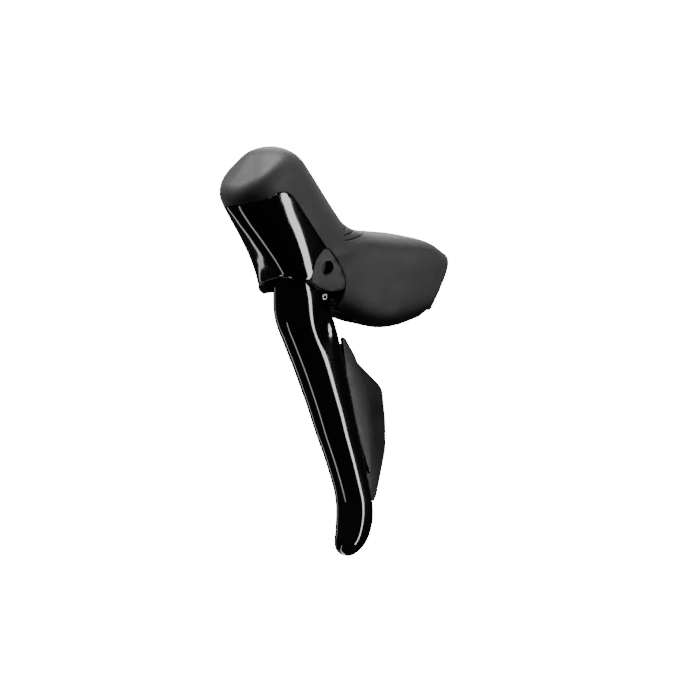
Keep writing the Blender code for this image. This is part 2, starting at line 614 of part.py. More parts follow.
# ---------------------------------------------------------------- lever and what rides on it


def blade_ring(point, tangent, half_depth, half_width, count=20):
    """A blade section square to the spine: a rounded front and a flatter back."""
    forward = ACROSS.cross(tangent).normalized()
    if forward.x > 0:
        forward = -forward
    ring = []
    for k in range(count):
        angle = math.tau * k / count
        power = 2.5 if math.cos(angle) > 0 else 3.2
        along = math.copysign(abs(math.cos(angle)) ** (2 / power), math.cos(angle))
        across = math.copysign(abs(math.sin(angle)) ** (2 / power), math.sin(angle))
        ring.append(point + forward * half_depth * along + ACROSS * half_width * across)
    return ring


def blade_rings():
    spine = [Vector(section[:3]) for section in BLADE_SECTIONS]
    rings = []
    for k, section in enumerate(BLADE_SECTIONS):
        ahead = spine[min(k + 1, len(spine) - 1)]
        behind = spine[max(k - 1, 0)]
        tangent = (ahead - behind).normalized()
        rings.append(blade_ring(spine[k], tangent, section[3], section[4]))
    return rings


def roller_centre():
    """The pull roller at rest: half the stroke ahead of square to the master cylinder."""
    ahead = LEVER_TRAVEL / 2
    return PIVOT + (GRIP_DOWN * math.cos(ahead) - GRIP_BACK * math.sin(ahead)) * PULL_RADIUS


def make_lever(finishes):
    made = {}
    lever = loft("main_lever", blade_rings(), finishes["lever_gloss"])
    hub = rod("tool_hub", PIVOT - ACROSS * HUB_HALF, PIVOT + ACROSS * HUB_HALF, HUB_RADIUS, 28)
    combine(lever, hub, "UNION")
    channel = ((-75.6, 11.4), (-75.6, 3.0), (-68.0, -9.0), (-62.0, -20.0), (-40.0, -20.0), (-40.0, 12.4), (-66.0, 12.2))
    centre = roller_centre()
    groove = ((-3.4, -16.0), (40.0, -16.0), (40.0, 78.0), (1.4, 78.0), (1.0, 58.0), (-3.4, 57.0))
    cut_all(lever, [
        side_prism("tool_lever_channel", channel, -6.0, 6.0),
        prism("tool_lever_groove", groove, paddle_frame(), -5.0, 5.0),
        rod("tool_hub_bore", PIVOT - ACROSS * 20.0, PIVOT + ACROSS * 20.0, 4.3),
        rod("tool_roller_pin_hole", centre - ACROSS * 8.6, centre + ACROSS * 8.6, 1.3, 12),
        rod("tool_reach_hole", Vector((-61.4, -12.0, 6.4)), Vector((-61.4, -5.0, 6.4)), 1.9, 14),
    ])
    made["main_lever"] = lever
    for name, sign in (("outer_axle_bush", -1.0), ("inner_axle_bush", 1.0)):
        start = PIVOT + ACROSS * sign * 3.0
        end = PIVOT + ACROSS * sign * (HUB_HALF - 0.1)
        made[name] = pipe(name, start, end, 4.0, AXLE_RADIUS + 0.3, 20, finishes["brass"])
    made["pull_roller"] = pipe("pull_roller", centre - ACROSS * 5.4, centre + ACROSS * 5.4, 2.5, 1.3, 18,
                               finishes["steel"])
    made["roller_pin"] = rod("roller_pin", centre - ACROSS * 8.2, centre + ACROSS * 8.2, 1.0, 12, finishes["steel"])
    screw = ((0.0, 0.0), (1.4, 0.0), (1.6, 0.2), (1.6, 2.6), (0.0, 2.6))
    reach = turned("reach_screw", screw, Vector((-61.4, -9.0, 6.4)), ACROSS, 14, finishes["steel"])
    made["reach_screw"] = combine(reach, hex_socket("tool_reach_key", Vector((-61.4, -9.0, 6.4)), ACROSS, 1.5, 1.2))
    return made


def paddle_frame(out=0.0):
    """Local X runs back from the pin, Y down it and Z towards the outer side."""
    turned_axes = Matrix((PADDLE_BACK, PIN_DOWN, PADDLE_OUT)).transposed().to_4x4()
    return Matrix.Translation(PIN_TOP + PADDLE_OUT * out) @ turned_axes


def make_switches(finishes):
    made = {}
    place = paddle_frame()
    front = prism("front_paddle", filleted(FRONT_PADDLE_OUTLINE, 1.4, 2), place, 3.0, 4.6,
                  finishes["paddle_front"])
    knuckle = prism("tool_front_knuckle", [(-1.7, 8.0), (1.7, 8.0), (1.7, 15.0), (-1.7, 15.0)], place, -1.6, 3.6)
    combine(front, knuckle, "UNION")
    rear = prism("rear_paddle", filleted(REAR_PADDLE_OUTLINE, 1.8, 2), place, 0.6, 2.2, finishes["paddle_rear"])
    rear_knuckle = prism("tool_rear_knuckle", [(-1.7, 18.0), (2.6, 18.0), (2.6, 50.0), (-1.7, 50.0)], place,
                         -1.6, 1.7)
    combine(rear, rear_knuckle, "UNION")
    combine(rear, prism("tool_knuckle_gap", [(-2.4, 7.6), (2.1, 7.6), (2.1, 15.4), (-2.4, 15.4)], place, -3.0, 3.1))
    pin_start = place @ Vector((0.0, 3.4, 0.0))
    pin_end = place @ Vector((0.0, 54.6, 0.0))
    bore_start = place @ Vector((0.0, -2.0, 0.0))
    bore_end = place @ Vector((0.0, 60.0, 0.0))
    for paddle in (front, rear):
        combine(paddle, rod("tool_bore_" + paddle.name, bore_start, bore_end, 1.05, 14))
    made["front_paddle"] = front
    made["rear_paddle"] = rear
    made["paddle_pin"] = rod("paddle_pin", pin_start, pin_end, 0.75, 12, finishes["steel"])
    outline = ((-3.0, -2.0), (6.6, -2.0), (9.6, 12.0), (12.4, 22.0), (12.6, 36.0), (9.0, 48.0), (4.4, 56.0), (-3.0, 56.0))
    housing = prism("switch_housing", filleted(outline, 1.4, 2), place, -4.4, -0.9, finishes["bracket_nylon"])
    for name, low, high in (("tool_top_lug", 2.6, 7.0), ("tool_bottom_lug", 51.0, 55.4)):
        lug = [(-2.2, low), (1.2, low), (1.2, high), (-2.2, high)]
        combine(housing, prism(name, lug, place, -2.0, 1.7), "UNION")
    combine(housing, prism("tool_dome_block", [(3.0, -1.4), (6.4, -1.4), (6.4, 3.4), (3.0, 3.4)], place, -1.4, 1.4),
            "UNION")
    room = prism("tool_housing_knuckles", [(-2.6, 7.4), (3.2, 7.4), (3.2, 50.6), (-2.6, 50.6)], place, -2.4, 2.6)
    combine(housing, room)
    combine(housing, rod("tool_housing_pin", bore_start, bore_end, 1.05, 14))
    made["switch_housing"] = housing
    for name, x, y, top in (("front_switch_dome", 4.7, 1.0, 1.4), ("rear_switch_dome", 8.8, 34.0, -0.9)):
        centre = place @ Vector((x, y, top - 0.5))
        pocket = ((0.0, -0.3), (1.35, -0.3), (1.35, 4.0), (0.0, 4.0))
        combine(housing, turned("tool_pocket_" + name, pocket, centre, PADDLE_OUT, 14))
        made[name] = turned(name, ((0.0, 0.0), (1.05, 0.0), (1.05, 0.7), (0.0, 1.0)), centre, PADDLE_OUT, 14,
                            finishes["seal_rubber"])
    return made


def turn_about(obj, point):
    """Puts an object's origin on the axis it turns or slides about, without moving its shape."""
    spot = (Vector(point) - BAR_CENTRE) * MM
    obj.data.transform(Matrix.Translation(-spot))
    obj.location = spot


def main():
    clear_scene()
    finishes = make_materials()
    make_hood(finishes["hood_rubber"])
    make_bracket(finishes["bracket_nylon"])
    make_front_shell(finishes["gloss_shell"])
    cap_screw("front_cover_screw", horn(86.0, -44.5, 15.4), -ACROSS, 2.3, 1.4, 1.2, 7.0, 1.5, finishes["black_steel"])
    make_clamp(finishes["steel"], finishes["black_steel"])
    hydraulics = make_hydraulics(finishes)
    electronics = make_electronics(finishes)
    rod("lever_axle", PIVOT - ACROSS * 12.5, PIVOT + ACROSS * 12.8, AXLE_RADIUS, 20, finishes["black_steel"])
    lever = make_lever(finishes)
    switches = make_switches(finishes)
    for name in ("main_lever", "outer_axle_bush", "inner_axle_bush", "pull_roller", "roller_pin"):
        turn_about(lever[name], PIVOT)
    for name in ("switch_housing", "front_switch_dome", "rear_switch_dome", "paddle_pin"):
        turn_about(switches[name], PIVOT)
    for name in ("front_paddle", "rear_paddle"):
        turn_about(switches[name], PIN_TOP)
    for name in ("piston", "rear_piston_seal", "front_piston_seal", "push_rod"):
        turn_about(hydraulics[name], cylinder_point(20.0))
    turn_about(electronics["hood_button"], horn(80.0, -28.4, 10.5))
    turn_about(lever["reach_screw"], Vector((-61.4, -9.0, 6.4)))


main()
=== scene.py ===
"""A left brake and shift lever for a drop handlebar: rubber hood, gloss front cover, gloss lever, two paddles.

Lengths below are millimetres on the maker's drawing. DATUM is the bar's centre there: it is taken off each point,
and MM turns the rest into metres. -X is forward, -Y is the outer side, +Z is up.
"""

import math

import bmesh
import bpy
from mathutils import Matrix, Vector
from mathutils.geometry import intersect_point_line


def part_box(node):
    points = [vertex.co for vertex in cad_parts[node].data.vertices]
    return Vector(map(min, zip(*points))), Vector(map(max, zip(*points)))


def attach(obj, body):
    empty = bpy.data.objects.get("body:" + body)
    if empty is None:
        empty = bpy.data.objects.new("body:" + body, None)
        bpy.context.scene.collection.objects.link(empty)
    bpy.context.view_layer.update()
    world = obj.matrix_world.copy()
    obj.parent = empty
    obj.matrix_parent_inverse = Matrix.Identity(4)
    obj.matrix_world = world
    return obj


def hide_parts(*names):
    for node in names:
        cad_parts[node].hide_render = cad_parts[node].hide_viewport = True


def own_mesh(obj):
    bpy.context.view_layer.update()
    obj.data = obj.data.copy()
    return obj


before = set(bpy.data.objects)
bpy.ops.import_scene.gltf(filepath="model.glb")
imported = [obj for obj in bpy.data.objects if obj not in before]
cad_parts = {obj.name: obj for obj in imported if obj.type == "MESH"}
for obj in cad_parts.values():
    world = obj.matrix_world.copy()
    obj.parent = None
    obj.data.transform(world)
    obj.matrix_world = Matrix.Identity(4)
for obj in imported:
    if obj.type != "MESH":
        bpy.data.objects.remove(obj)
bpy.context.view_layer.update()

MM = 0.001
DATUM = Vector((-3.3, 0.0, 2.3))
ACROSS = Vector((0.0, 1.0, 0.0))
HORN_TILT = math.radians(37.0)
HORN_UP = Vector((-math.sin(HORN_TILT), 0.0, math.cos(HORN_TILT)))
HORN_BACK = Vector((math.cos(HORN_TILT), 0.0, math.sin(HORN_TILT)))
BAR_TILT = math.radians(35.0)
BAR_UP = Vector((math.sin(BAR_TILT), 0.0, math.cos(BAR_TILT)))
PIVOT = Vector((-65.5, 0.0, 20.5))
BAR_RADIUS = 12.0
RUBBER = 2.1
SHELL = 2.2
SEAM = 0.3
CAVITY_HALF = 11.2

# Sections from the bar end of the grip to the horn's foot:
# (top x, top z, underside x, underside z, half width, squareness of the top corners, and of the bottom ones)
GRIP_STATIONS = (
    (7.0, 18.6, -13.0, -11.6, 16.4, 4.4, 3.2),
    (-0.4, 23.4, -21.0, -12.4, 16.8, 4.4, 3.6),
    (-10.4, 26.6, -30.0, -11.8, 16.9, 4.0, 4.2),
    (-21.4, 28.8, -37.6, -9.8, 16.4, 3.4, 4.6),
    (-31.0, 30.6, -45.4, -6.4, 16.0, 3.0, 4.8),
    (-37.6, 32.2, -53.8, -2.2, 15.8, 2.7, 4.4),
    (-43.0, 34.4, -68.0, 2.6, 15.8, 2.5, 3.8),
    (-47.6, 37.4, -80.4, 9.2, 15.8, 2.5, 4.2),
)
# Sections up the horn, along its own tilted axes:
# (rear height, rear depth, front height, front depth, the rest as above)
HORN_STATIONS = (
    (64.0, -16.2, 64.0, -58.2, 15.8, 2.5, 3.9),
    (73.0, -16.4, 73.0, -56.9, 15.8, 2.5, 3.2),
    (82.0, -16.4, 83.0, -56.5, 15.8, 2.5, 2.6),
    (92.0, -16.4, 95.0, -56.4, 15.8, 2.5, 2.2),
    (98.8, -16.7, 103.2, -55.9, 15.5, 2.5, 2.15),
    (104.6, -18.9, 108.4, -54.2, 14.6, 2.5, 2.3),
    (109.2, -22.6, 111.8, -50.2, 12.6, 2.5, 2.4),
    (112.7, -27.6, 112.9, -44.0, 8.6, 2.4, 2.4),
    (114.5, -31.6, 114.0, -38.6, 4.4, 2.2, 2.2),
    (115.0, -34.0, 114.7, -35.6, 1.0, 2.0, 2.0),
)
CROWN_STATIONS = 6
# How far the crown falls towards the far side, for each millimetre across
CROWN_LEAN = 0.16
# How far the middle of the grip's rear edge stands out past its top and bottom corners
REAR_BULGE = 3.6
# The shoulder that parts the grip's top from its side: (x, z, how far it stands out)
SHOULDER = (
    (-63.0, 25.6, 0.2), (-57.0, 27.2, 0.8), (-49.0, 28.4, 1.0), (-38.0, 28.2, 1.0), (-28.0, 26.8, 0.9),
    (-14.0, 23.6, 0.8), (-2.0, 19.6, 0.6), (8.0, 14.0, 0.2),
)
# Lever blade from its tip up to the neck: (x, y, z, half depth, half width)
BLADE_STATIONS = (
    (-58.2, -15.6, -107.9, 0.9, 1.2),
    (-57.5, -15.5, -107.2, 2.8, 3.4),
    (-55.3, -15.1, -105.0, 4.9, 5.5),
    (-51.4, -14.3, -100.6, 6.5, 7.2),
    (-48.7, -13.3, -94.6, 7.3, 7.7),
    (-47.6, -12.2, -88.2, 7.3, 7.7),
    (-48.1, -10.8, -80.4, 7.0, 7.6),
    (-50.6, -8.4, -66.0, 7.7, 7.9),
    (-53.2, -6.4, -54.0, 8.6, 8.4),
    (-55.8, -4.4, -41.0, 9.4, 8.9),
    (-60.0, -2.6, -25.0, 10.5, 9.5),
    (-64.5, -1.2, -10.0, 11.8, 9.9),
    (-68.1, -0.5, 0.0, 11.9, 9.8),
    (-69.4, 0.0, 10.0, 10.6, 9.5),
    (-71.0, 0.0, 19.0, 9.2, 9.5),
    (-72.2, 0.0, 25.0, 6.6, 9.3),
    (-72.6, 0.0, 28.0, 3.6, 8.4),
)
# The master cylinder's axis: a point on it and the direction down it
PIN_TOP = Vector((-50.0, -3.4, -20.0))
PIN_DOWN = (Vector((-44.0, -9.6, -74.0)) - PIN_TOP).normalized()
OUTWARD = Vector((0.10, -1.0, 0.0))
PADDLE_OUT = (OUTWARD - PIN_DOWN * OUTWARD.dot(PIN_DOWN)).normalized()
PADDLE_BACK = PADDLE_OUT.cross(PIN_DOWN).normalized()
# Paddle outlines: (distance behind the pin, distance down the pin)
FRONT_PADDLE_OUTLINE = (
    (0.6, -6.2), (2.6, -5.4), (7.0, 4.0), (8.5, 9.5), (10.0, 17.5), (10.9, 28.0),
    (10.3, 40.0), (8.3, 50.0), (5.0, 57.0), (3.8, 56.6), (1.6, 44.0), (0.4, 30.0), (-0.4, 10.0),
)
REAR_PADDLE_OUTLINE = (
    (8.2, 5.4), (10.7, 8.4), (21.4, 20.8), (22.9, 23.8), (21.7, 37.5), (19.0, 49.5), (15.0, 56.8),
    (8.8, 67.8), (6.3, 70.4), (4.8, 69.4), (2.2, 58.0), (1.7, 12.0), (5.2, 5.6),
)
EAR_OUTLINE = (
    (-64.6, 28.8), (-67.6, 29.2), (-71.6, 26.2), (-73.2, 21.6), (-75.2, 16.4), (-67.6, 10.6), (-57.6, 9.6),
    (-55.0, 11.0), (-56.2, 16.8), (-59.6, 22.2),
)


# ---------------------------------------------------------------- drawing helpers


def horn(up, back, across=0.0):
    """A point given along the horn's own tilted axes."""
    return HORN_UP * up + HORN_BACK * back + ACROSS * across


def flowing(points, steps):
    """A Catmull-Rom curve through points of any dimension."""
    points = [Vector(p) for p in points]
    padded = [points[0] * 2 - points[1], *points, points[-1] * 2 - points[-2]]
    curve = []
    for a, b, c, d in zip(padded, padded[1:], padded[2:], padded[3:]):
        for k in range(steps):
            t = k / steps
            curve.append(
                0.5 * (2 * b + (c - a) * t + (2 * a - 5 * b + 4 * c - d) * t * t + (3 * b - a - 3 * c + d) * t**3)
            )
    return [*curve, points[-1]]


def rounded(corners, radius, steps=6):
    """An outline with each corner replaced by an arc of about the given radius."""
    outline = []
    for k, corner in enumerate(corners):
        here = Vector(corner)
        before = Vector(corners[k - 1]) - here
        after = Vector(corners[(k + 1) % len(corners)]) - here
        reach = min(radius, before.length * 0.48, after.length * 0.48)
        first = here + before.normalized() * reach
        last = here + after.normalized() * reach
        for s in range(steps + 1):
            t = s / steps
            outline.append(tuple((1 - t) ** 2 * first + 2 * t * (1 - t) * here + t * t * last))
    return outline


def power_point(angle, power):
    """A point on a unit superellipse."""
    along = math.copysign(abs(math.cos(angle)) ** (2 / power), math.cos(angle))
    across = math.copysign(abs(math.sin(angle)) ** (2 / power), math.sin(angle))
    return along, across


def axes_at(origin, x_axis, z_axis):
    """A matrix whose local X and Z point along the given directions."""
    z_dir = Vector(z_axis).normalized()
    y_dir = z_dir.cross(Vector(x_axis)).normalized()
    turned = Matrix((y_dir.cross(z_dir), y_dir, z_dir)).transposed().to_4x4()
    return Matrix.Translation(origin) @ turned


SIDE_VIEW = Matrix(((1, 0, 0, 0), (0, 0, 1, 0), (0, 1, 0, 0), (0, 0, 0, 1)))
PADDLE_PLANE = Matrix.Translation(PIN_TOP) @ Matrix((PADDLE_BACK, PIN_DOWN, PADDLE_OUT)).transposed().to_4x4()


# ---------------------------------------------------------------- modelling steps


def take(piece):
    bpy.ops.object.select_all(action="DESELECT")
    piece.select_set(True)
    bpy.context.view_layer.objects.active = piece


def lay_ring(piece, ring):
    """Puts the selected points where the ring says, by the number each point carries."""
    cage = bmesh.from_edit_mesh(piece.data)
    number = cage.verts.layers.int["place"]
    for vert in cage.verts:
        if vert.select:
            vert.co = (ring[vert[number]] - DATUM) * MM
    bmesh.update_edit_mesh(piece.data)


def skin_over(name, rings):
    """A filled circle, extruded from station to station into a closed skin."""
    bpy.ops.object.select_all(action="DESELECT")
    bpy.ops.mesh.primitive_circle_add(vertices=len(rings[0]), radius=10.0 * MM, fill_type="NGON")
    piece = bpy.context.object
    piece.name = piece.data.name = name
    places = piece.data.attributes.new("place", "INT", "POINT")
    places.data.foreach_set("value", range(len(rings[0])))
    bpy.ops.object.mode_set(mode="EDIT")
    lay_ring(piece, rings[0])
    for ring in rings[1:]:
        bpy.ops.mesh.extrude_region_move(TRANSFORM_OT_translate={"value": (0.0, 0.0, MM)})
        lay_ring(piece, ring)
    bpy.ops.mesh.select_all(action="SELECT")
    bpy.ops.mesh.normals_make_consistent(inside=False)
    bpy.ops.object.mode_set(mode="OBJECT")
    piece.data.attributes.remove(piece.data.attributes["place"])
    return piece


def slab(name, outline, plane, low, high):
    """A flat outline in the plane's XY, extruded along its Z."""
    return skin_over(name, [[plane @ Vector((x, y, z)) for x, y in outline] for z in (low, high)])


def rod(name, start, end, radius, sides=48):
    start, end = Vector(start), Vector(end)
    place = axes_at(start, (0.123, 0.456, 0.789), end - start)
    circle = [(math.cos(a) * radius, math.sin(a) * radius) for a in (math.tau * k / sides for k in range(sides))]
    return slab(name, circle, place, 0.0, (end - start).length)


def carve(piece, tool, how="DIFFERENCE"):
    """Cuts, joins or trims the piece with the tool, which is used up."""
    step = piece.modifiers.new("carve", "BOOLEAN")
    step.operation = how
    step.solver = "EXACT"
    step.object = tool
    take(piece)
    bpy.ops.object.modifier_apply(modifier=step.name)
    bpy.data.objects.remove(tool)
    return piece


def soften(piece, width, degrees=40.0, segments=2):
    """Rounds the piece's sharp edges, and smooths what is left between them."""
    take(piece)
    bpy.ops.object.mode_set(mode="EDIT")
    bpy.ops.mesh.select_all(action="SELECT")
    bpy.ops.mesh.remove_doubles(threshold=0.004 * MM)
    bpy.ops.mesh.dissolve_degenerate(threshold=0.004 * MM)
    bpy.ops.object.mode_set(mode="OBJECT")
    if width:
        edge = piece.modifiers.new("edge", "BEVEL")
        edge.width = width * MM
        edge.segments = segments
        edge.limit_method = "ANGLE"
        edge.angle_limit = math.radians(degrees)
        edge.use_clamp_overlap = True
        edge.miter_outer = "MITER_ARC"
        bpy.ops.object.modifier_apply(modifier=edge.name)
    bpy.ops.object.shade_smooth_by_angle(angle=math.radians(35.0), keep_sharp_edges=False)
    return piece


def copy_of(node, name):
    """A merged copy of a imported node's mesh, to work on."""
    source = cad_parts[node]
    piece = bpy.data.objects.new(name, source.data.copy())
    bpy.context.scene.collection.objects.link(piece)
    take(piece)
    bpy.ops.object.mode_set(mode="EDIT")
    bpy.ops.mesh.select_all(action="SELECT")
    bpy.ops.mesh.remove_doubles(threshold=0.002 * MM)
    bpy.ops.mesh.dissolve_limited(angle_limit=math.radians(0.5))
    bpy.ops.object.mode_set(mode="OBJECT")
    bpy.ops.mesh.customdata_custom_splitnormals_clear()
    return piece


def hand_over(piece, finish, body, slot, *nodes):
    """Gives a finished piece its material and its body, and hides the imported nodes that it stands for. The slot
    argument is not used.
    """
    piece.data.materials.clear()
    piece.data.materials.append(finish)
    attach(piece, body)
    if nodes:
        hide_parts(*nodes)


# ---------------------------------------------------------------- finishes


def srgb(code):
    """An sRGB hex colour as linear red, green, blue and alpha."""
    parts = [int(code[k:k + 2], 16) / 255 for k in (0, 2, 4)]
    return (*[c / 12.92 if c <= 0.04045 else ((c + 0.055) / 1.055) ** 2.4 for c in parts], 1.0)


def add(tree, kind, props=None, values=None, links=None):
    """Adds a node with its settings, its socket values and what is linked into it."""
    node = tree.nodes.new(kind)
    for name, value in (props or {}).items():
        setattr(node, name, value)
    for name, value in (values or {}).items():
        node.inputs[name].default_value = value
    for name, source in (links or {}).items():
        tree.links.new(source, node.inputs[name])
    return node


def new_finish(name, sockets):
    """A material with only a shader, whose plain numbers are set on its own sockets."""
    finish = bpy.data.materials.new(name)
    finish.use_nodes = True
    tree = finish.node_tree
    shader = tree.nodes["Principled BSDF"]
    for socket, value in sockets.items():
        shader.inputs[socket].default_value = value
    return finish, tree, shader


def per_mm(size):
    """The scale of a pattern whose features are this many millimetres apart."""
    return 1.0 / (size * MM)


def moulded(name, colour, rubbed, grain, depth, rough, sockets=None, patch=14.0):
    """Moulded plastic or rubber: a fine spark-eroded grain, and patches where hands have rubbed it lighter."""
    finish, tree, shader = new_finish(name, sockets or {})
    where = add(tree, "ShaderNodeTexCoord").outputs["Object"]
    grit = add(tree, "ShaderNodeTexNoise", values={"Scale": per_mm(grain), "Detail": 3.0, "Roughness": 0.6},
               links={"Vector": where})
    wear = add(tree, "ShaderNodeTexNoise", values={"Scale": per_mm(patch), "Detail": 4.0, "Roughness": 0.55},
               links={"Vector": where})
    both = add(tree, "ShaderNodeMath", {"operation": "MULTIPLY_ADD"}, {1: 0.35},
               {0: grit.outputs["Fac"], 2: wear.outputs["Fac"]})
    tint = add(tree, "ShaderNodeValToRGB", links={"Fac": both.outputs[0]})
    tint.color_ramp.elements[0].position = 0.45
    tint.color_ramp.elements[0].color = srgb(colour)
    tint.color_ramp.elements[1].position = 0.95
    tint.color_ramp.elements[1].color = srgb(rubbed)
    shine = add(tree, "ShaderNodeMapRange", values={"From Min": 0.3, "From Max": 0.7, "To Min": rough[0],
                                                    "To Max": rough[1]}, links={"Value": wear.outputs["Fac"]})
    bump = add(tree, "ShaderNodeBump", values={"Strength": 1.0, "Distance": depth * MM},
               links={"Height": grit.outputs["Fac"]})
    tree.links.new(tint.outputs["Color"], shader.inputs["Base Color"])
    tree.links.new(shine.outputs["Result"], shader.inputs["Roughness"])
    tree.links.new(bump.outputs["Normal"], shader.inputs["Normal"])
    return finish


def machined(name, colour, shade, lines, stretch, rough, sockets=None):
    """Turned, drawn or stamped metal: fine tool lines that run round or along the piece."""
    finish, tree, shader = new_finish(name, {"Metallic": 1.0, **(sockets or {})})
    where = add(tree, "ShaderNodeTexCoord").outputs["Object"]
    drawn = add(tree, "ShaderNodeMapping", values={"Scale": stretch}, links={"Vector": where})
    marks = add(tree, "ShaderNodeTexNoise", values={"Scale": per_mm(lines), "Detail": 4.0, "Roughness": 0.7},
                links={"Vector": drawn.outputs["Vector"]})
    cloud = add(tree, "ShaderNodeTexNoise", values={"Scale": per_mm(6.0), "Detail": 2.0}, links={"Vector": where})
    tint = add(tree, "ShaderNodeMix", {"data_type": "RGBA"}, {6: srgb(colour), 7: srgb(shade)},
               {0: cloud.outputs["Fac"]})
    shine = add(tree, "ShaderNodeMapRange", values={"To Min": rough[0], "To Max": rough[1]},
                links={"Value": marks.outputs["Fac"]})
    bump = add(tree, "ShaderNodeBump", values={"Strength": 0.6, "Distance": 0.01 * MM},
               links={"Height": marks.outputs["Fac"]})
    tree.links.new(tint.outputs[2], shader.inputs["Base Color"])
    tree.links.new(shine.outputs["Result"], shader.inputs["Roughness"])
    tree.links.new(bump.outputs["Normal"], shader.inputs["Normal"])
    return finish


def solder_mask(name):
    """Glass-fibre board under green solder mask: copper tracks show as paler lines on a half-millimetre grid."""
    finish, tree, shader = new_finish(name, {"Coat Weight": 0.4, "Coat Roughness": 0.15})
    where = add(tree, "ShaderNodeTexCoord").outputs["Object"]
    tracks = add(tree, "ShaderNodeTexBrick", {"offset": 0.37, "squash": 1.6},
                 {"Scale": per_mm(3.0), "Color1": srgb("0d3a22"), "Color2": srgb("0f4227"), "Mortar": srgb("2c6b3f"),
                  "Mortar Size": 0.05, "Brick Width": 0.9, "Row Height": 0.3}, {"Vector": where})
    fibre = add(tree, "ShaderNodeTexNoise", values={"Scale": per_mm(0.4)}, links={"Vector": where})
    shine = add(tree, "ShaderNodeMapRange", values={"To Min": 0.28, "To Max": 0.5},
                links={"Value": fibre.outputs["Fac"]})
    bump = add(tree, "ShaderNodeBump", values={"Strength": 0.5, "Distance": 0.03 * MM},
               links={"Height": tracks.outputs["Fac"]})
    tree.links.new(tracks.outputs["Color"], shader.inputs["Base Color"])
    tree.links.new(shine.outputs["Result"], shader.inputs["Roughness"])
    tree.links.new(bump.outputs["Normal"], shader.inputs["Normal"])
    return finish


FINISHES = {
    # Thermoplastic rubber, matt and slightly dusty: soft wide highlights and a pale bloom at the edges
    "hood_rubber": moulded("moulded_hood_rubber", "161618", "212124", 0.45, 0.035, (0.50, 0.60),
                           {"Sheen Weight": 0.12, "Sheen Roughness": 0.5, "IOR": 1.52}),
    # Piano-black ABS from a polished mould: near-mirror, with the faintest ripple
    "gloss_shell": moulded("piano_black_abs", "040405", "070708", 3.0, 0.004, (0.05, 0.10),
                           {"IOR": 1.53, "Coat Weight": 0.6, "Coat Roughness": 0.03}, 20.0),
    # Clear lacquer over black carbon-filled plastic: wet-looking, a little softer than the shell
    "lever_gloss": moulded("lacquered_lever_black", "040405", "060607", 3.4, 0.004, (0.06, 0.11),
                           {"IOR": 1.53, "Coat Weight": 0.8, "Coat Roughness": 0.035}, 24.0),
    # Glass-filled nylon: dark grey with a dry, even tooth that scatters light
    "bracket_nylon": moulded("glass_filled_nylon", "262627", "323233", 0.5, 0.03, (0.40, 0.52), {"IOR": 1.53}, 9.0),
    # Spark-eroded nylon on the front paddle: charcoal with a fine sparkle of grain
    "paddle_front": moulded("textured_paddle_nylon", "252526", "303031", 0.55, 0.05, (0.38, 0.50), {"IOR": 1.53}, 11.0),
    # The same nylon, finer and darker, on the rear paddle
    "paddle_rear": moulded("satin_paddle_nylon", "171717", "202020", 0.5, 0.03, (0.34, 0.46), {"IOR": 1.53}, 11.0),
    # Nitrile seals: deep black, waxy
    "seal_rubber": moulded("nitrile_seal_rubber", "0e0e0e", "171717", 0.4, 0.02, (0.45, 0.60), {"IOR": 1.52}, 5.0),
    # Bright zinc-plated steel with drawn lines
    "steel": machined("zinc_plated_steel", "b9bcc0", "a4a7ab", 0.35, (1.0, 6.0, 1.0), (0.22, 0.38)),
    # Black-oxide steel: dark, with a thin oily sheen
    "black_steel": machined("black_oxide_steel", "2b2b2d", "1d1d1f", 0.3, (1.0, 1.0, 5.0), (0.28, 0.42)),
    # Clear-anodised turned aluminium: pale and even
    "aluminium": machined("anodised_turned_aluminium", "bfc1c5", "adb0b4", 0.3, (1.0, 5.0, 1.0), (0.26, 0.36)),
    # Turned brass: warm, with tool lines
    "brass": machined("turned_brass", "c9a45a", "b18b43", 0.3, (1.0, 5.0, 1.0), (0.22, 0.34)),
    "board": solder_mask("green_solder_mask"),
}


# ---------------------------------------------------------------- hood, cover and bracket


def shoulder_push(x, z):
    """How far the rubber stands out at this place in the side view, because of the shoulder line."""
    best, push = 99.0, 0.0
    for (ax, az, a_out), (bx, bz, b_out) in zip(SHOULDER, SHOULDER[1:]):
        near, share = intersect_point_line((x, z), (ax, az), (bx, bz))
        share = min(1.0, max(0.0, share))
        foot = Vector((ax + (bx - ax) * share, az + (bz - az) * share))
        away = (Vector((x, z)) - foot).length
        if away < best:
            best = away
            reach = 1.8 if z > foot.y else 4.2
            push = (a_out + (b_out - a_out) * share) * math.exp(-((away / reach) ** 2))
    return push


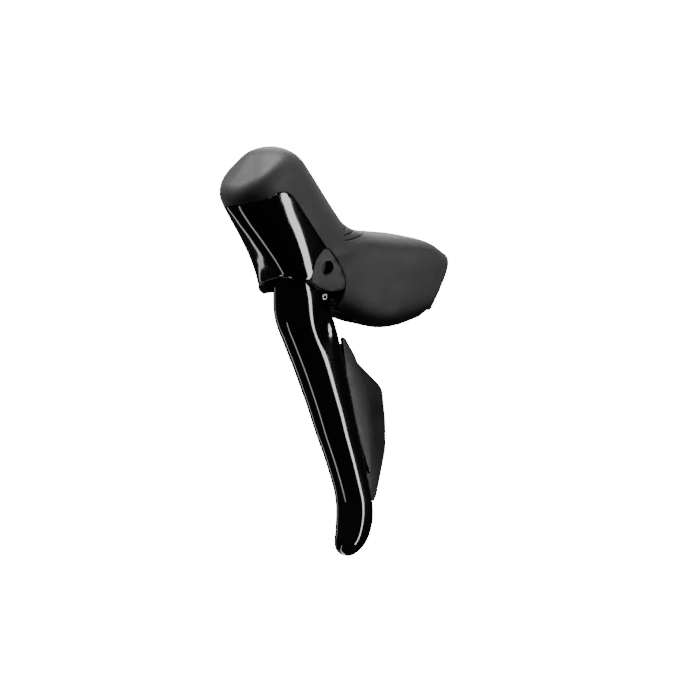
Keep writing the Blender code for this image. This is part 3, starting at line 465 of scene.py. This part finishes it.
def body_rings(inset, steps=8, count=96, rear_shift=0.0, shoulder=False, flare=False):
    """Sections of the grip and horn, with all faces moved in by inset. The flare is the gloss cover's own foot."""
    stations = [(Vector((tx, 0, tz)), Vector((bx, 0, bz)), *rest) for tx, tz, bx, bz, *rest in GRIP_STATIONS]
    stations += [(horn(ru, rb), horn(fu, fb), *rest) for ru, rb, fu, fb, *rest in HORN_STATIONS]
    if flare:
        stations[6:8] = [(stations[6][0], Vector((-77.6, 0.0, -3.4)), 15.8, 2.5, 4.0),
                         (stations[7][0], Vector((-81.8, 0.0, 6.0)), 15.8, 2.5, 4.0)]
    moved = []
    for k, (top, bottom, half, upper, lower_corners) in enumerate(stations):
        shrink = min(inset, (bottom - top).length * 0.3, half * 0.6)
        inward = (bottom - top).normalized() * shrink
        sink = HORN_UP * -inset * max(0, k - len(stations) + CROWN_STATIONS) / 4
        moved.append((top + inward + sink, bottom - inward + sink, half - shrink, upper, lower_corners))
    if rear_shift:
        (top, bottom, *rest), (second_top, second_bottom, *_) = moved[0], moved[1]
        back = ((top - second_top).normalized() + (bottom - second_bottom).normalized()) * rear_shift / 2
        moved[0] = (top + back, bottom + back, *rest)
    rings = []
    for number, station in enumerate(flowing([(*top, *bottom, *rest) for top, bottom, *rest in moved], steps)):
        bulge = REAR_BULGE * max(0.0, 1.0 - number / (steps * 2.0)) ** 2
        top, bottom, half = Vector(station[:3]), Vector(station[3:6]), station[6]
        ring = []
        for k in range(count):
            angle = math.tau * k / count
            along, across = power_point(angle, station[7] if math.cos(angle) > 0 else station[8])
            point = (top + bottom) / 2 + (top - bottom) / 2 * along + ACROSS * half * across
            point.x += bulge * (1.0 - along * along)
            point -= HORN_UP * CROWN_LEAN * max(0.0, point.y) * min(1.0, max(0.0, point.dot(HORN_UP) - 98.0) / 12.0)
            if shoulder:
                point += ACROSS * math.copysign(shoulder_push(point.x, point.z), across) * min(1.0, abs(across) * 1.3)
            ring.append(point)
        rings.append(ring)
    return rings


def window_corner(shift):
    """The rounded top corner of the hood's window in the side view."""
    curve = flowing([(102.6, -43.4), (101.4, -40.8), (99.4, -38.0), (96.2, -36.2), (92.0, -35.5)], 5)
    points = [horn(up - shift, back - shift) for up, back in [(114.0, -48.0), *curve]]
    return [(point.x, point.z) for point in points]


def under_the_brow(name, shift):
    """All that lies below the slanted arch of rubber over the gloss cover."""
    arch = flowing([(-15.5, 101.2), (-12.5, 103.6), (-9.0, 105.2), (-4.0, 105.6), (2.0, 104.4), (8.0, 101.6),
                    (13.0, 98.4)], 5)
    outline = [(up - shift, -across) for across, up in [(-30.0, 101.2), *arch, (30.0, 96.0), (30.0, 0.0), (-30.0, 0.0)]]
    return slab(name, outline, axes_at(Vector((0, 0, 0)), HORN_UP, HORN_BACK), -120.0, 0.0)


def ear_outline(grow=0.0):
    centre = Vector((-65.0, 19.0))
    grown = [tuple(Vector(c) + (Vector(c) - centre).normalized() * grow) for c in EAR_OUTLINE]
    return rounded(grown, 2.6)


def mouth(half):
    """The open room in front of and below the lever's hub."""
    outline = ((-49.6, 19.0), (-48.6, 4.0), (-44.2, -6.0), (-44.2, -40.0), (-120.0, -40.0), (-120.0, 17.0),
               (-81.6, 17.0), (-81.0, 20.5), (-66.0, 24.0))
    return slab("mouth", rounded(outline, 1.6, 4), SIDE_VIEW, -half, half)


def outer_skin(piece, origin, direction):
    """Where a line from the origin first meets the piece, in drawing millimetres."""
    hit, spot, _, _ = piece.ray_cast((Vector(origin) - DATUM) * MM, Vector(direction).normalized())
    return spot / MM + DATUM if hit else None


def thread(name, path, radius, side, sides=12):
    """A round cord that follows a path and narrows at both ends."""
    rings = []
    for k, spot in enumerate(path):
        ahead, behind = path[min(k + 1, len(path) - 1)], path[max(k - 1, 0)]
        place = axes_at(spot, side, ahead - behind)
        slim = radius * (0.25 + 0.75 * math.sin(math.pi * k / (len(path) - 1)) ** 0.6)
        rings.append([place @ Vector((math.cos(a) * slim, math.sin(a) * slim, 0.0))
                      for a in (math.tau * n / sides for n in range(sides))])
    return skin_over(name, rings)


# Folds where the rubber flexes between grip and horn: (start x, start z, length)
FLEX_GROOVES = ((-55.0, 31.0, 20.0), (-54.6, 33.2, 16.0), (-54.0, 35.4, 12.0))


def flex_groove(hood, x, z, length, sign):
    path = []
    for k in range(13):
        reach = length * k / 12
        spot = outer_skin(hood, (x + reach, sign * 30.0, z - 0.055 * reach + 0.004 * reach * reach), (0, -sign, 0))
        if spot:
            path.append(spot)
    return thread("flex_groove", path, 0.55, ACROSS)


# Notch in the hood's underside that lets in the paddle and switch housing at full pull
PULL_NOTCH = ((-46.0, -2.0), (-46.0, -40.0), (-33.0, -40.0), (-33.0, -2.0))
PULL_NOTCH_OUTER, PULL_NOTCH_INNER = -8.7, 5.2


def make_hood_cover():
    hood = skin_over("hood_cover_rubber", body_rings(0.0, 8, 96, shoulder=True))
    foot = rounded([(-150.0, 90.0), *window_corner(0.0)[-1:], (-63.2, 25.4), (-60.2, 22.2), (-56.4, 16.8),
                    (-55.0, 11.0), (-56.2, 5.2), (-59.0, -2.0), (-59.0, -40.0), (-150.0, -40.0)], 2.4, 4)[5:]
    window = slab("window", [*window_corner(0.0), *foot, (-150.0, 90.0)], SIDE_VIEW, -40.0, 40.0)
    carve(window, under_the_brow("brow", 0.0), "INTERSECT")
    carve(hood, skin_over("hood_inside", body_rings(RUBBER, 3, 48, rear_shift=6.0)))
    carve(hood, window)
    carve(hood, slab("ear_room", ear_outline(SEAM), SIDE_VIEW, -40.0, 40.0))
    bar_end = BAR_UP * 60.0
    carve(hood, rod("bar_room", DATUM - bar_end, DATUM + bar_end, BAR_RADIUS + 0.6, 96))
    carve(hood, mouth(CAVITY_HALF))
    carve(hood, slab("pull_notch", rounded(PULL_NOTCH, 1.6, 4), SIDE_VIEW, PULL_NOTCH_OUTER, PULL_NOTCH_INNER))
    for sign in (-1.0, 1.0):
        for x, z, length in FLEX_GROOVES:
            carve(hood, flex_groove(hood, x, z, length, sign))
    return soften(hood, 0.35, 42.0)


def make_front_cover():
    """The piano-black shell on the front of the horn."""
    shell = skin_over("front_cover_shell", body_rings(0.0, 8, 96, flare=True))
    foot = horn(60.0, -35.9)
    region = [*window_corner(0.35), (foot.x, foot.z), (foot.x, -10.0), (-150.0, -10.0), (-150.0, 90.0)]
    carve(shell, under_the_brow("brow", 0.35), "INTERSECT")
    carve(shell, slab("region", region, SIDE_VIEW, -40.0, 40.0), "INTERSECT")
    carve(shell, skin_over("shell_inside", body_rings(SHELL, 5, 64, flare=True)))
    carve(shell, slab("ear_room", ear_outline(SEAM), SIDE_VIEW, -40.0, 40.0))
    lip = flowing([(14.6, 6.2), (12.6, 8.4), (9.4, 11.2), (5.0, 13.8), (0.0, 15.9), (-6.0, 17.8), (-10.0, 18.2),
                   (-14.0, 17.0)], 5)
    below = [(40.0, 5.6), *[tuple(p) for p in lip], (-40.0, 14.0), (-40.0, -60.0), (40.0, -60.0)]
    carve(shell, slab("lip", below, axes_at(Vector((0, 0, 0)), ACROSS, (1, 0, 0)), -150.0, -40.0))
    rim = [outer_skin(shell, (-150.0, y, z + 0.3), (1, 0, 0)) for y, z in lip if abs(y) < 13.5]
    carve(shell, thread("lip_bead", [spot for spot in rim if spot], 0.6, (1, 0, 0)), "UNION")
    carve(shell, rod("screw_hole", horn(86.0, -44.5, 5.0), horn(86.0, -44.5, 14.0), 1.6))
    carve(shell, rod("screw_seat", horn(86.0, -44.5, 13.6), horn(86.0, -44.5, 23.0), 2.6))
    return soften(shell, 0.3, 50.0)


def make_bracket():
    """The nylon bracket, with rounded ears that hold the lever's axle."""
    bracket = copy_of("bracket_body", "bracket_core")
    carve(bracket, skin_over("trim", body_rings(2.4, 4, 64, rear_shift=-3.0)), "INTERSECT")
    rim = [tuple(Vector(c)) for c in ear_outline(0.8)]
    for sign in (-1.0, 1.0):
        low, high = sorted((sign * 13.35, sign * 20.0))
        carve(bracket, slab("old_ear", rim, SIDE_VIEW, low, high))
    for name, sign in (("outer_ear", -1.0), ("inner_ear", 1.0)):
        low, high = sorted((sign * 12.6, sign * 20.0))
        ear = slab(name, ear_outline(), SIDE_VIEW, low, high)
        carve(ear, skin_over("ear_skin", body_rings(0.25, 5, 96)), "INTERSECT")
        take(ear)
        soften(ear, 0.8, 40.0, 3)
        carve(bracket, ear, "UNION")
    carve(bracket, rod("axle_hole", PIVOT - ACROSS * 30.0, PIVOT + ACROSS * 30.0, 3.3))
    return soften(bracket, 0.0)


# ---------------------------------------------------------------- lever


def blade_rings(steps=6, count=96):
    """Blade sections square to its spine: a crowned front with a ridge at its outer corner, and a flatter back."""
    stations = flowing(BLADE_STATIONS, steps)
    rings = []
    for k, station in enumerate(stations):
        middle, depth, half = Vector(station[:3]), station[3], station[4]
        ahead = Vector(stations[min(k + 1, len(stations) - 1)][:3])
        behind = Vector(stations[max(k - 1, 0)][:3])
        forward = ACROSS.cross(ahead - behind).normalized()
        if forward.x > 0:
            forward = -forward
        ring = []
        for n in range(count):
            angle = math.tau * n / count
            along, across = power_point(angle, 2.3 if math.cos(angle) > 0 else 3.2)
            point = middle + forward * depth * along + ACROSS * half * across
            if point.y < middle.y:
                scoop = Vector((point.x + 61.0, (point.z + 5.0) * 0.6)).length / 4.6
                point.y += 1.7 * math.exp(-scoop * scoop)
            ring.append(point)
        rings.append(ring)
    return rings


def make_lever():
    lever = skin_over("lever_blade", blade_rings())
    hub_half = ACROSS * 10.7
    carve(lever, rod("hub", PIVOT - hub_half, PIVOT + hub_half, 7.5, 64), "UNION")
    channel = ((-75.6, 11.4), (-75.6, 3.0), (-68.0, -9.0), (-62.0, -20.0), (-40.0, -20.0), (-40.0, 12.4), (-66.0, 12.2))
    carve(lever, slab("channel", channel, SIDE_VIEW, -6.0, 6.0))
    groove = ((-3.4, -16.0), (40.0, -16.0), (40.0, 78.0), (1.4, 78.0), (1.0, 58.0), (-3.4, 57.0))
    carve(lever, slab("groove", groove, PADDLE_PLANE, -5.0, 5.0))
    carve(lever, rod("hub_bore", PIVOT - ACROSS * 20.0, PIVOT + ACROSS * 20.0, 4.3))
    low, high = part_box("roller_pin")
    pin = Vector(((low[0] + high[0]) / 2, 0.0, (low[2] + high[2]) / 2)) / MM + DATUM
    carve(lever, rod("pin_hole", pin - ACROSS * 8.6, pin + ACROSS * 8.6, 1.3, 24))
    carve(lever, rod("reach_hole", (-61.4, -12.0, 6.4), (-61.4, -5.0, 6.4), 1.9, 32))
    return soften(lever, 0.3, 50.0)


def make_front_paddle():
    paddle = slab("front_paddle_plate", rounded(FRONT_PADDLE_OUTLINE, 1.6, 5), PADDLE_PLANE, 3.0, 4.6)
    soften(paddle, 0.5, 40.0, 3)
    knuckle = [(-1.7, 8.0), (1.7, 8.0), (1.7, 15.0), (-1.7, 15.0)]
    carve(paddle, slab("knuckle", rounded(knuckle, 0.4, 3), PADDLE_PLANE, -1.6, 3.6), "UNION")
    carve(paddle, rod("pin_bore", PADDLE_PLANE @ Vector((0, -2.0, 0)), PADDLE_PLANE @ Vector((0, 60.0, 0)), 1.05, 24))
    return soften(paddle, 0.0)


def make_rear_paddle():
    paddle = slab("rear_paddle_plate", rounded(REAR_PADDLE_OUTLINE, 2.0, 5), PADDLE_PLANE, 0.6, 2.2)
    soften(paddle, 0.45, 40.0, 3)
    knuckle = [(-1.7, 18.0), (2.6, 18.0), (2.6, 50.0), (-1.7, 50.0)]
    carve(paddle, slab("knuckle", rounded(knuckle, 0.4, 3), PADDLE_PLANE, -1.6, 1.7), "UNION")
    gap = [(-2.4, 7.6), (2.1, 7.6), (2.1, 15.4), (-2.4, 15.4)]
    carve(paddle, slab("knuckle_gap", gap, PADDLE_PLANE, -3.0, 3.1))
    carve(paddle, rod("pin_bore", PADDLE_PLANE @ Vector((0, -2.0, 0)), PADDLE_PLANE @ Vector((0, 60.0, 0)), 1.05, 24))
    return soften(paddle, 0.0)


hand_over(make_hood_cover(), FINISHES["hood_rubber"], "bracket", "hood_rubber", "hood_cover")
hand_over(make_front_cover(), FINISHES["gloss_shell"], "bracket", "gloss_shell", "front_cover")
hand_over(make_bracket(), FINISHES["bracket_nylon"], "bracket", "bracket_nylon", "bracket_body")
hand_over(make_lever(), FINISHES["lever_gloss"], "lever", "lever_gloss", "main_lever")
hand_over(make_front_paddle(), FINISHES["paddle_front"], "front_paddle", "paddle_front", "front_paddle")
hand_over(make_rear_paddle(), FINISHES["paddle_rear"], "rear_paddle", "paddle_rear", "rear_paddle")

def make_spring():
    """The piston's return spring, a fixed copy of the imported coil on the bracket; the real one shortens by the
    piston's stroke as the lever is pulled.
    """
    spring = copy_of("piston_spring", "return_spring_coil")
    bpy.ops.object.shade_smooth()
    hand_over(spring, FINISHES["steel"], "bracket", "steel", "piston_spring")
    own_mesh(spring)


make_spring()

NODE_FINISH = {
    "bracket_nylon": ("battery_cover", "board_cover", "hood_button", "switch_housing"),
    "seal_rubber": ("bleed_o_ring", "front_piston_seal", "rear_piston_seal", "front_switch_dome",
                    "rear_switch_dome", "port_plug", "reservoir_bladder"),
    "steel": ("clamp_band", "clamp_nut", "coin_cell", "hose_insert", "paddle_pin", "pull_roller",
              "push_rod", "radio_module", "reach_screw", "roller_pin"),
    "black_steel": ("bleed_screw", "clamp_bolt", "front_cover_screw", "hose_nut", "lever_axle"),
    "aluminium": ("master_cylinder", "piston", "reservoir_lid"),
    "brass": ("hose_olive", "inner_axle_bush", "outer_axle_bush"),
    "board": ("button_switch", "circuit_board"),
}
for finish_name, members in NODE_FINISH.items():
    for member in members:
        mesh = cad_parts[member].data
        mesh.materials.clear()
        mesh.materials.append(FINISHES[finish_name])


# ---------------------------------------------------------------- studio

AIM = Vector((-59.75, -27.06, -16.29)) * MM
CAMERA_BACK = Vector((-0.6545, -0.7269, 0.2079))


def facing(location, target, up=(0.0, 0.0, 1.0)):
    """The turn that points a lamp's or camera's -Z at the target, with its Y as near to up as it can be."""
    away = Vector(location) - Vector(target)
    return axes_at(Vector(), Vector(up).cross(away), away).to_euler()


def softbox(name, location, target, width, height, power, up=(0.0, 0.0, 1.0), lights_matt=True):
    lamp = bpy.data.lights.new(name, "AREA")
    lamp.shape = "RECTANGLE"
    lamp.size = width
    lamp.size_y = height
    lamp.energy = power
    holder = bpy.data.objects.new(name, lamp)
    holder.location = location
    holder.rotation_euler = facing(location, target, up)
    holder.visible_camera = False
    holder.visible_diffuse = lights_matt
    bpy.context.scene.collection.objects.link(holder)


camera = bpy.data.cameras.new("camera")
camera.lens = 179.4
camera.sensor_width = 36.0
camera.clip_end = 40.0
camera_holder = bpy.data.objects.new("camera", camera)
camera_holder.location = AIM + CAMERA_BACK * 1.5
camera_holder.rotation_euler = facing(camera_holder.location, AIM)
bpy.context.scene.collection.objects.link(camera_holder)
bpy.context.scene.camera = camera_holder

bpy.ops.object.select_all(action="DESELECT")
bpy.ops.mesh.primitive_plane_add(size=16.0, location=(0.0, 0.0, -0.19))
floor = bpy.context.object
floor.name = "floor"
paper, paper_tree, paper_shader = new_finish("white_paper_sweep", {"Roughness": 0.9, "Emission Strength": 16.0})
paper_where = add(paper_tree, "ShaderNodeTexCoord").outputs["Object"]
paper_tooth = add(paper_tree, "ShaderNodeTexNoise", values={"Scale": 900.0}, links={"Vector": paper_where})
paper_tint = add(paper_tree, "ShaderNodeMix", {"data_type": "RGBA"}, {6: srgb("fafafa"), 7: srgb("ffffff")},
                 {0: paper_tooth.outputs["Fac"]})
paper_tree.links.new(paper_tint.outputs[2], paper_shader.inputs["Base Color"])
paper_tree.links.new(paper_tint.outputs[2], paper_shader.inputs["Emission Color"])
floor.data.materials.append(paper)
floor.visible_glossy = False
floor.visible_diffuse = False

sky = bpy.data.worlds.new("studio")
sky.use_nodes = True
bpy.context.scene.world = sky
sky_tree = sky.node_tree
path = add(sky_tree, "ShaderNodeLightPath")
direction = add(sky_tree, "ShaderNodeTexCoord").outputs["Generated"]
height = add(sky_tree, "ShaderNodeSeparateXYZ", links={0: direction}).outputs["Z"]
rise = add(sky_tree, "ShaderNodeMapRange", values={"From Min": -0.4, "From Max": 0.9}, links={"Value": height})
fill = add(sky_tree, "ShaderNodeMix", {"data_type": "RGBA"}, {6: (0.03, 0.03, 0.03, 1.0), 7: (0.20, 0.20, 0.205, 1.0)},
           {0: rise.outputs["Result"]})
room = add(sky_tree, "ShaderNodeMix", {"data_type": "RGBA"}, {7: (0.02, 0.02, 0.021, 1.0)},
           {0: path.outputs["Is Glossy Ray"], 6: fill.outputs[2]})
seen = add(sky_tree, "ShaderNodeMix", {"data_type": "RGBA"}, {7: (16.0, 16.0, 16.0, 1.0)},
           {0: path.outputs["Is Camera Ray"], 6: room.outputs[2]})
sky_tree.links.new(seen.outputs[2], sky_tree.nodes["Background"].inputs["Color"])

HORN_MIDDLE = (-0.085, 0.0, 0.04)
BLADE_MIDDLE = (-0.052, -0.006, -0.06)
softbox("overhead", (-0.02, -0.1, 0.8), (-0.05, 0.0, 0.0), 0.5, 0.5, 16.0)
softbox("dome_glow", (-0.55, 0.5, 0.75), HORN_MIDDLE, 0.4, 0.4, 10.0)
softbox("right_strip", (0.42, -0.83, -0.13), (-0.06, 0.0, -0.02), 0.15, 0.8, 5.0, (0.3, 0.15, 1.0), False)
softbox("under_card", (-0.15, 0.03, -0.15), (-0.085, 0.0, 0.035), 0.02, 0.22, 0.05, HORN_UP, False)
softbox("left_card", (-0.12, 0.26, -0.18), BLADE_MIDDLE, 0.02, 0.34, 0.05, (0.0, 0.0, 1.0), False)
softbox("back_fill", (0.7, 0.8, 0.5), (0.0, 0.0, 0.0), 0.5, 0.5, 5.0)

bpy.context.view_layer.update()
